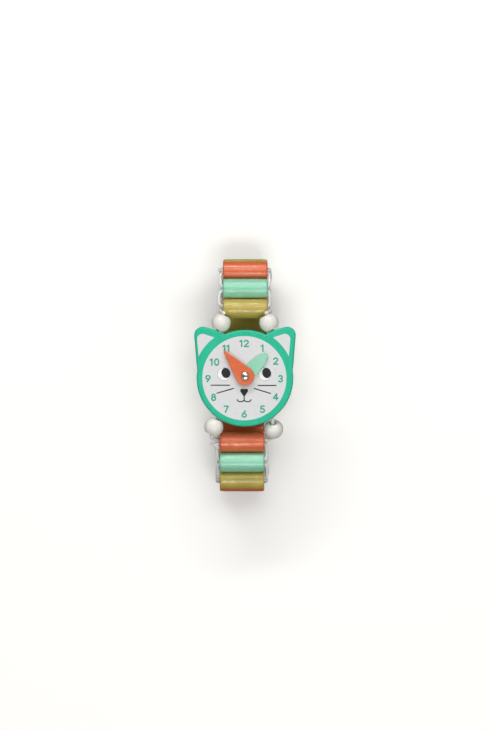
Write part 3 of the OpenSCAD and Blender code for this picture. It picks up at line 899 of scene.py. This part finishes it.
# %% Braid
cord_finish = Finish("covered_elastic", Specular_IOR_Level=0.3, Sheen_Weight=0.25)
uv = cord_finish.node("ShaderNodeUVMap", {"uv_map": "along"}, {})
along, around = [cord_finish.node("ShaderNodeSeparateXYZ", {}, {0: uv}, k) for k in (0, 1)]
THREADS, PITCH_MM = 6.0, 1.6


def threads(lean):
    phase = (around * THREADS + along * (lean * THREADS / PITCH_MM)) * (2 * math.pi)
    return cord_finish.node("ShaderNodeMath", {"operation": "SINE"}, {0: phase}) * 0.5 + 0.5


braid = threads(1) * threads(-1)
fuzz = cord_finish.noise(cord_finish.place(), 3000.0, 3.0)
# Painted shade: the colour is made darker in the valleys between the braid's threads, and the fuzz darkens
# it a little at random.
braid_shade_and_fuzz = cord_finish.band(braid, 0.35, 0.0) * 0.3 + cord_finish.band(fuzz, 0.6, 0.3) * 0.15
cord_finish.feed("Base Color", cord_finish.mix(braid_shade_and_fuzz.clamped(), tone(253, 253, 252), tone(206, 203, 202)))
cord_finish.feed("Roughness", 0.62 + fuzz * 0.2)
cord_finish.feed("Normal", cord_finish.bump(braid + fuzz * 0.3, 0.00006))


# %% Sweep a round section along a smooth curve
def smooth_curve(points, steps):
    """A curve that passes through all points without a corner."""
    points = [Vector(p) for p in points]
    last = len(points) - 1
    row = []
    for i in range(last):
        a, b = points[max(i - 1, 0)], points[i]
        c, d = points[i + 1], points[min(i + 2, last)]
        for s in range(steps):
            t = s / steps
            row.append(0.5 * (2 * b + (c - a) * t + (2 * a - 5 * b + 4 * c - d) * t ** 2
                              + (3 * b - a - 3 * c + d) * t ** 3))
    return row + [points[-1]]


def sweep(name, path, diameter, finish, sides=16):
    """A tube with flat, closed ends. Its UV map holds the way along in mm, and round in turns."""
    side = Vector((0, 0, 1))
    points, along_mm, gone = [], [], 0.0
    for i, here in enumerate(path):
        ahead = (path[min(i + 1, len(path) - 1)] - path[max(i - 1, 0)]).normalized()
        side = (side - ahead * side.dot(ahead)).normalized()
        up = ahead.cross(side)
        if i:
            gone += (here - path[i - 1]).length
        along_mm.append(gone)
        for s in range(sides):
            turn = 2 * math.pi * s / sides
            points.append(here + diameter / 2 * (side * math.cos(turn) + up * math.sin(turn)))
    faces = ring_faces(len(path), sides, False)
    first = len(points)
    points += [path[0], path[-1]]
    for s in range(sides):
        faces.append((first, (s + 1) % sides, s))
        base = (len(path) - 1) * sides
        faces.append((first + 1, base + s, base + (s + 1) % sides))

    def uv(loop):
        ring, s = divmod(loop.vertex_index, sides) if loop.vertex_index < first else (0, 0)
        return along_mm[ring], s / sides
    return tidy_normals(mesh_object(name, points, faces, finish, uv))


# %% [markdown]
# ## Cord between two barrels
# The cord is under tension, so it hugs the barrels' ends. How far each stretch bows out differs a
# little, because it was pulled through by hand. The visible ones are set from the photograph,
# the rest get a steady variation.

# %% Bows between the barrels
STRAND_OFFSET = 0.85
BRAID_D = CORD_D + 0.14
# How far past the barrels' ends a stretch bows out, in mm
BOW_OUT = {(1, -1): 1.06, (1, 1): 0.95, (2, -1): 0.85, (2, 1): 1.2, (3, -1): 1.1, (3, 1): 0.8,
           (17, -1): 1.6, (17, 1): 0.9, (16, -1): 1.1, (16, 1): 0.75, (15, -1): 1.2, (15, 1): 0.9}
# Inside a bore: two points from the barrel's middle, and one this far in from its end
BORE_START, BORE_ON, BORE_MOUTH = 0.1, 5.0, 0.8
# Outside it: shares of the bow, and how far along the strap they lie
BOW_BENDS = [(0.5, 0.4), (0.9, 1.5)]


def bow_route(link, side):
    start, end = barrel_middle[link], barrel_middle[link + 1]
    step = Vector((0, end.y - start.y, end.z - start.z))
    ahead = step.normalized()
    bow = side * BOW_OUT.get((link, side), 1.0 + 0.18 * math.sin(link * 2.3 + side))
    ends = [barrel.x + side * BARREL_L / 2 for barrel in (start, end)]
    far_x = max(ends) if side > 0 else min(ends)

    def half_route(barrel, ahead):
        """From the middle of a barrel's bore out to the side of the bow."""
        out = [(barrel.x + side * x, 0.0) for x in (BORE_START, BORE_ON, BARREL_L / 2 - BORE_MOUTH)]
        out += [(far_x + bow * share, way) for share, way in BOW_BENDS]
        return [Vector((x, barrel.y, barrel.z)) + ahead * (STRAND_OFFSET + way) for x, way in out]

    crest = Vector((far_x + bow, start.y, start.z)) + step / 2
    return half_route(start, ahead) + [crest] + half_route(end, -ahead)[::-1]


for link in range(1, BARRELS):
    for side, side_name in ((-1, "left"), (1, "right")):
        path = smooth_curve(bow_route(link, side), 6)
        cord = sweep(f"cord_{link:02d}_{side_name}", path, BRAID_D, cord_finish.material)
        hang(cord, f"link_{link:02d}", [f"elastic_link_{link:02d}"], "elastic")
print("bows strung:", 2 * (BARRELS - 1))

# %% [markdown]
# ## Cord through the plate and the round beads
# On each side the cord comes out of the bore next to the dial, turns up past the barrel's end, runs
# through a round bead, the plate and the bead above it, and dives into the bore beyond. Its pull
# holds the beads against the plate, so all of this rides on the dial.

# %% Where the cord leaves the plate
BORE_INSET = 0.4


def rim_y(x, away):
    """Where the plate's rim lies at a distance x from the centre line, above (1) or below (-1)."""
    ring = plate_outline + plate_outline[:1]
    for (ax, ay), (bx, by) in zip(ring, ring[1:]):
        if (ax - x) * (bx - x) <= 0 and ax != bx and ay * away > 0:
            return dial_middle.y + ay + (by - ay) * (x - ax) / (bx - ax)
    raise ValueError("no rim there")


print("cord leaves the plate at", round(rim_y(CORD_X, 1), 2), "and", round(rim_y(CORD_X, -1), 2))


# %% Cords at the plate
BEAD_PLAY, LEAD = 0.55, 0.9
# Depths inside the barrel's bore, and where the cord bends beyond its end
BORE_DEPTHS, BORE_BEND, BEND_RISE = (3.2, 0.9), 0.85, 0.1
# On the way to the bead: shares of the way, and how far the cord bulges out
BULGES = [(0.4, 0.5), (0.8, 0.35)]


def bead_route(name):
    """From the bore of the nearest barrel round its end and into the bead's hole."""
    side, away = BEADS[name][:2]
    outwards = Vector((side, 0, 0))
    barrel = barrel_middle[BARRELS if away > 0 else 1]
    end_x = barrel.x + side * BARREL_L / 2
    bore = Vector((end_x, barrel.y - away * STRAND_OFFSET, barrel.z))
    hole, middle = bead_direction(name), bead_middle[name]
    towards = outwards if away > 0 else Vector((end_x - middle.x, 0, 0))
    beside = (towards - hole * towards.dot(hole)).normalized() * BEAD_PLAY
    entry = middle + hole * BEAD_L / 2 + beside
    lead = entry + hole * LEAD
    bend = bore + Vector((side * BORE_BEND, 0, (entry.z - bore.z) * BEND_RISE))
    inside = [bore - outwards * depth for depth in (BARREL_L / 2 - BORE_START,) + BORE_DEPTHS]
    rising = [bend + (lead - bend) * share + outwards * bulge for share, bulge in BULGES]
    return inside + [bend] + rising + [lead, entry, middle + beside * 0.5]


for side, side_name in ((-1, "left"), (1, "right")):
    low_y, high_y = rim_y(side * CORD_X, -1) + BORE_INSET, rim_y(side * CORD_X, 1) - BORE_INSET
    through = [Vector((side * CORD_X, low_y + (high_y - low_y) * k / 5, plate_mid.z)) for k in range(6)]
    route = bead_route(f"bottom_{side_name}") + through + list(reversed(bead_route(f"top_{side_name}")))
    cord = sweep(f"cord_plate_{side_name}", smooth_curve(route, 8), BRAID_D, cord_finish.material)
    hang(cord, "dial", ["elastic_plate"], "elastic")
print("long cords strung:", 2)

# %% [markdown]
# ## The knot
# The cord's two ends are tied beside the first barrel below the dial. A tight overhand knot is a
# trefoil, so we sweep the cord along a small one and add the cut tail.

# %% Tie the knot
KNOT_SCALE, KNOT_CORD_D, KNOT_STEPS = 0.3625, 1.0, 60
KNOT_FROM_END = Vector((-1.2, -1.4, 0.8))
TAIL_POINTS = [Vector((0, 0, 0)), Vector((-1.0, 0.5, 0.2)), Vector((-2.4, 0.7, 0.1))]
knot_middle = barrel_middle[1] + Vector((-BARREL_L / 2, 0, 0)) + KNOT_FROM_END


def trefoil(t):
    return Vector((math.sin(t) + 2 * math.sin(2 * t), math.cos(t) - 2 * math.cos(2 * t),
                   -1.2 * math.sin(3 * t)))


knot_path = [knot_middle + trefoil(2 * math.pi * k / KNOT_STEPS) * KNOT_SCALE for k in range(KNOT_STEPS)]
knot = sweep("cord_knot", knot_path, KNOT_CORD_D, cord_finish.material, 12)
hang(knot, "link_01", slot="elastic")
tail_path = smooth_curve([knot_middle + point for point in TAIL_POINTS], 5)
tail = sweep("cord_tail", tail_path, CORD_D * 0.9, cord_finish.material, 12)
hang(tail, "link_01", slot="elastic")
print("knot at", [round(v, 1) for v in knot_middle])

# %% [markdown]
# ## Floor, light and camera
# The photograph looks straight down on the watch. A broad soft lamp beyond the twelve gives the long
# highlight on the upper third of each barrel, and a weaker one nearer to the camera the second, fainter
# one. Between them a large lamp high up softens the shadow of each barrel on the next. The room is
# darker overhead, where the camera hangs, and near the floor than in between, so flat lacquer shows its
# own colour and the gaps in the strap stay deep. The floor keeps the watch's shadow. Farther out it
# fades to plain white, for the camera only, so that no edge of it shows in a low view. From below the
# floor is clear, so that the back of the watch can be looked at as well.

# %% Floor
FLOOR_M = 1.5
floor_mesh = bpy.data.meshes.new("floor")
corners = [(x * FLOOR_M, y * FLOOR_M, 0) for x, y in ((-1, -1), (1, -1), (1, 1), (-1, 1))]
floor_mesh.from_pydata(corners, [], [(0, 1, 2, 3)])
paper = Finish("pale_paper", Specular_IOR_Level=0.2, Emission_Strength=1.0)
fibre = paper.noise(paper.place(), 900.0, 4.0)
seen = paper.node("ShaderNodeLightPath", {}, {}, "Is Camera Ray")
sheet = paper.mix(fibre, tone(250, 249, 247), tone(243, 242, 240))
from_middle = paper.node("ShaderNodeVectorMath", {"operation": "LENGTH"}, {0: paper.place()},
                         "Value")
far = paper.band(from_middle, 0.1, 0.55)
near_glow, far_glow = (0.15, 0.15, 0.148, 1.0), (1.0, 0.995, 0.985, 1.0)
black = tone(0, 0, 0)
paper.feed("Base Color", paper.mix(seen, tone(104, 102, 98), paper.mix(far, sheet, black)))
paper.feed("Emission Color", paper.mix(seen, black, paper.mix(far, near_glow, far_glow)))
paper.feed("Roughness", 0.8 + fibre * 0.1)
paper.feed("Normal", paper.bump(fibre, 0.00001))
behind = paper.node("ShaderNodeNewGeometry", {}, {}, "Backfacing")
clear = paper.node("ShaderNodeBsdfTransparent", {}, {})
paper_shader = Wire(paper, paper.shader.outputs[0])
one_way = paper.node("ShaderNodeMixShader", {}, {0: behind, 1: paper_shader, 2: clear})
paper.links.new(one_way.socket, paper.nodes["Material Output"].inputs["Surface"])
floor_mesh.materials.append(paper.material)
floor = place_in_scene("floor", floor_mesh)

# %% Lamps
target = Vector((0, 0, 20)) * MM
DAYLIGHT = (1.0, 0.99, 0.97)


def lamp(name, place_mm, size_mm, watts):
    light = bpy.data.lights.new(name, "AREA")
    light.shape = "RECTANGLE"
    light.size, light.size_y = size_mm[0] * MM, size_mm[1] * MM
    light.energy = watts
    light.color = DAYLIGHT
    obj = place_in_scene(name, light)
    obj.location = Vector(place_mm) * MM
    obj.rotation_euler = (target - obj.location).to_track_quat("-Z", "Y").to_euler()


lamp("window_lamp", (-180, 1000, 610), (1000, 120), 6.5)
lamp("high_lamp", (100, 560, 1100), (900, 500), 4.4)
lamp("near_lamp", (120, -520, 1060), (700, 300), 5.0)

# %% Room
world = bpy.data.worlds.new("room")
room = Tree(world, "Background")
OVERHEAD, ROUND_ABOUT, LOW, BACKDROP = 0.03, 0.44, 0.06, 1.0
towards_sky = room.node("ShaderNodeTexCoord", {}, {}, "Generated")
height = room.node("ShaderNodeSeparateXYZ", {}, {0: towards_sky}, 2)


def between_heights(low, high, below, above):
    """Goes smoothly from one value to another as a direction rises."""
    return room.node("ShaderNodeMapRange", {"interpolation_type": "SMOOTHSTEP"},
                     {"Value": height, "From Min": low, "From Max": high, "To Min": below,
                      "To Max": above})


level = between_heights(0.55, 0.95, between_heights(0.1, 0.45, LOW, ROUND_ABOUT), OVERHEAD)
seen = room.node("ShaderNodeLightPath", {}, {}, "Is Camera Ray")
strength = room.node("ShaderNodeMix", {"data_type": "FLOAT"}, {0: seen, 2: level, 3: BACKDROP})
room.feed("Strength", strength)
room.feed("Color", (1.0, 0.99, 0.975, 1.0))
bpy.context.scene.world = world
print("room light from", OVERHEAD, "overhead to", ROUND_ABOUT, "round about")

# %% Camera
PHOTO_SCALE = 0.4
PHOTO_SIZE = (490, 730)
DIAL_PIXEL = (245.0, 378.2)
LENS_MM = 150.0
SENSOR_MM = 36.0
view_middle = Vector((dial_middle.x - (DIAL_PIXEL[0] - PHOTO_SIZE[0] / 2) * PHOTO_SCALE,
                      dial_middle.y + (DIAL_PIXEL[1] - PHOTO_SIZE[1] / 2) * PHOTO_SCALE, dial_middle.z))
distance = LENS_MM * PHOTO_SIZE[1] * PHOTO_SCALE / SENSOR_MM
camera = bpy.data.cameras.new("photo_camera")
camera.lens = LENS_MM
camera.sensor_width = SENSOR_MM
camera.clip_start = 0.05
camera_object = place_in_scene("photo_camera", camera)
camera_object.location = (view_middle + Vector((0, 0, distance))) * MM
bpy.context.scene.camera = camera_object
bpy.context.scene.view_settings.view_transform = "Standard"
print("camera height", round(distance), "mm")
